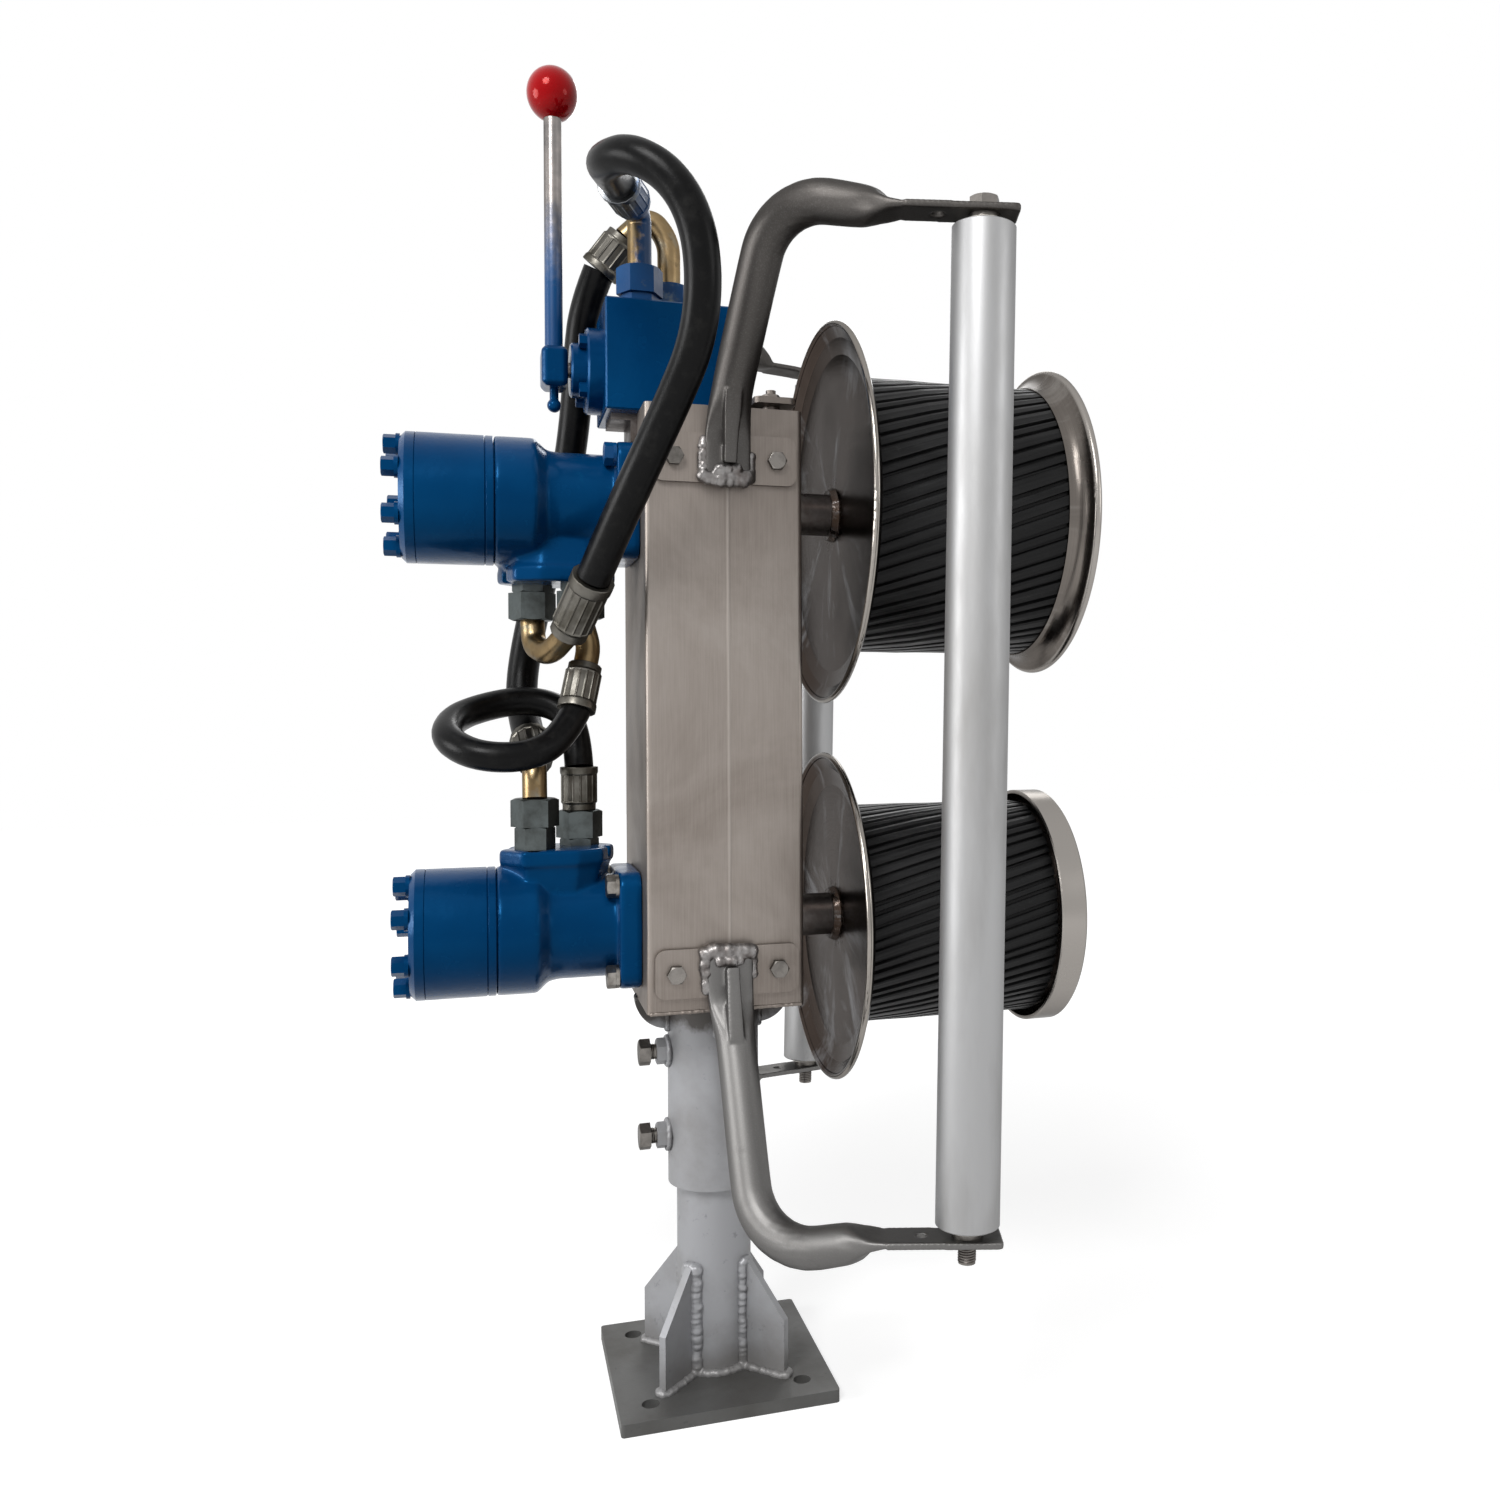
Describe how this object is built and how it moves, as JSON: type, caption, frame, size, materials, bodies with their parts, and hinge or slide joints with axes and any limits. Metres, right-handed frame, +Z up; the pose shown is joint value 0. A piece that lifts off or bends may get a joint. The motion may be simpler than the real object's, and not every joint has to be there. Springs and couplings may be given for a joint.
{
  "type": "hydraulic line hauler",
  "caption": "Deck line hauler: upright box on a swivelling pedestal, stacked rubber-lagged drums, hydraulic motors, lever valve with hoses, and vertical guide rollers on bent arms.",
  "frame": {"origin": "centre of the base plate's underside", "axes": "+Z up the pedestal, +X along the drum shafts towards the drums, -Y the operator's side"},
  "size_m": [0.557, 0.5148, 1.059],
  "materials": {
    "plate_paint": "grey paint, satin",
    "post_paint": "silver-grey paint, satin",
    "stainless": "blasted stainless sheet, satin",
    "arm_steel": "bead-blasted steel, satin",
    "roller_steel": "fine-turned tube, satin",
    "spun_steel": "polished spun stainless",
    "dark_steel": "oiled turned steel",
    "blue_paint": "marine blue enamel, glossy",
    "rubber": "black rubber, matt",
    "lagging_rubber": "black ribbed rubber, matt",
    "zinc_silver": "zinc plated, satin",
    "zinc_yellow": "yellow passivated zinc, satin",
    "red_knob": "red phenolic, glossy",
    "lever_rod_metal": "turned steel with blue overspray",
    "bush_plastic": "cast nylon",
    "bearing_steel": "ground bearing steel"
  },
  "bodies": {
    "base": {"base_plate": "plate_paint", "post_tube": "post_paint", "base_gussets": "post_paint"},
    "upper_drum": {"upper_drum_shaft": "dark_steel", "upper_motor_shaft": "dark_steel", "upper_inner_flange": "spun_steel", "upper_outer_flange": "spun_steel", "upper_drum_core": "dark_steel", "upper_lagging": "lagging_rubber"},
    "lower_drum": {"lower_drum_shaft": "dark_steel", "lower_motor_shaft": "dark_steel", "lower_inner_flange": "spun_steel", "lower_outer_flange": "spun_steel", "lower_drum_core": "dark_steel", "lower_lagging": "lagging_rubber"},
    "front_guide": {"front_roller": "roller_steel", "front_roller_bushes": "bush_plastic"},
    "rear_guide": {"rear_roller": "roller_steel", "rear_roller_bushes": "bush_plastic"},
    "lever": {"valve_spindle": "dark_steel", "lever_hub": "blue_paint", "lever_rod": "lever_rod_metal", "lever_knob": "red_knob", "lever_screw": "blue_paint"},
    "upper_lock": {"upper_lock_screw": "zinc_silver"},
    "lower_lock": {"lower_lock_screw": "zinc_silver"},
    "head": {"swivel_sleeve": "post_paint", "stop_disc": "bush_plastic", "head_box": "stainless", "top_plate": "stainless", "top_strap": "stainless", "valve_bracket": "dark_steel", "bearing_housings": "dark_steel", "bearings": "bearing_steel", "bearing_covers": "stainless", "arm_plates": "stainless", "arm_plate_bolts": "stainless", "front_lower_arm": "arm_steel", "front_upper_arm": "arm_steel", "rear_lower_arm": "arm_steel", "rear_upper_arm": "arm_steel", "roller_axles": "zinc_silver", "axle_washers": "zinc_silver", "motor_port_plates": "blue_paint", "motor_gear_rings": "blue_paint", "motor_end_covers": "blue_paint", "motor_cover_bolts": "blue_paint", "motor_mount_bolts": "zinc_silver", "lower_motor_housing": "blue_paint", "upper_motor_housing": "blue_paint", "valve_body": "blue_paint", "valve_cover": "blue_paint", "valve_cover_bolts": "blue_paint", "port_adapters": "zinc_silver", "swivel_nuts": "zinc_silver", "hose_pipes": "zinc_yellow", "hose_ferrules": "zinc_silver", "hose_a": "rubber", "hose_b": "rubber", "hose_c": "rubber"}
  },
  "joints": [
    {"name": "head_swivel", "type": "hinge", "parent": "base", "child": "head", "pos_m": [0, 0, 0.2], "axis": [0, 0, 1], "range_deg": [-180, 180]},
    {"name": "upper_drum_spin", "type": "hinge", "parent": "head", "child": "upper_drum", "pos_m": [0.2, 0, 0.7117], "axis": [1, 0, 0], "continuous": true},
    {"name": "lower_drum_spin", "type": "hinge", "parent": "head", "child": "lower_drum", "pos_m": [0.2, 0, 0.3733], "axis": [1, 0, 0], "continuous": true},
    {"name": "front_roller_spin", "type": "hinge", "parent": "head", "child": "front_guide", "pos_m": [0.1435, -0.235, 0.535], "axis": [0.0218, 0, 0.9998], "continuous": true},
    {"name": "rear_roller_spin", "type": "hinge", "parent": "head", "child": "rear_guide", "pos_m": [0.1435, 0.235, 0.535], "axis": [0.0218, 0, 0.9998], "continuous": true},
    {"name": "lever_swing", "type": "hinge", "parent": "head", "child": "lever", "pos_m": [-0.12475, 0, 0.819], "axis": [1, 0, 0], "range_deg": [-40, 40]},
    {"name": "upper_lock_slide", "type": "slide", "parent": "head", "child": "upper_lock", "axis": [-1, 0, 0], "range_m": [0, 0.008]},
    {"name": "lower_lock_slide", "type": "slide", "parent": "head", "child": "lower_lock", "axis": [-1, 0, 0], "range_m": [0, 0.008]}
  ]
}
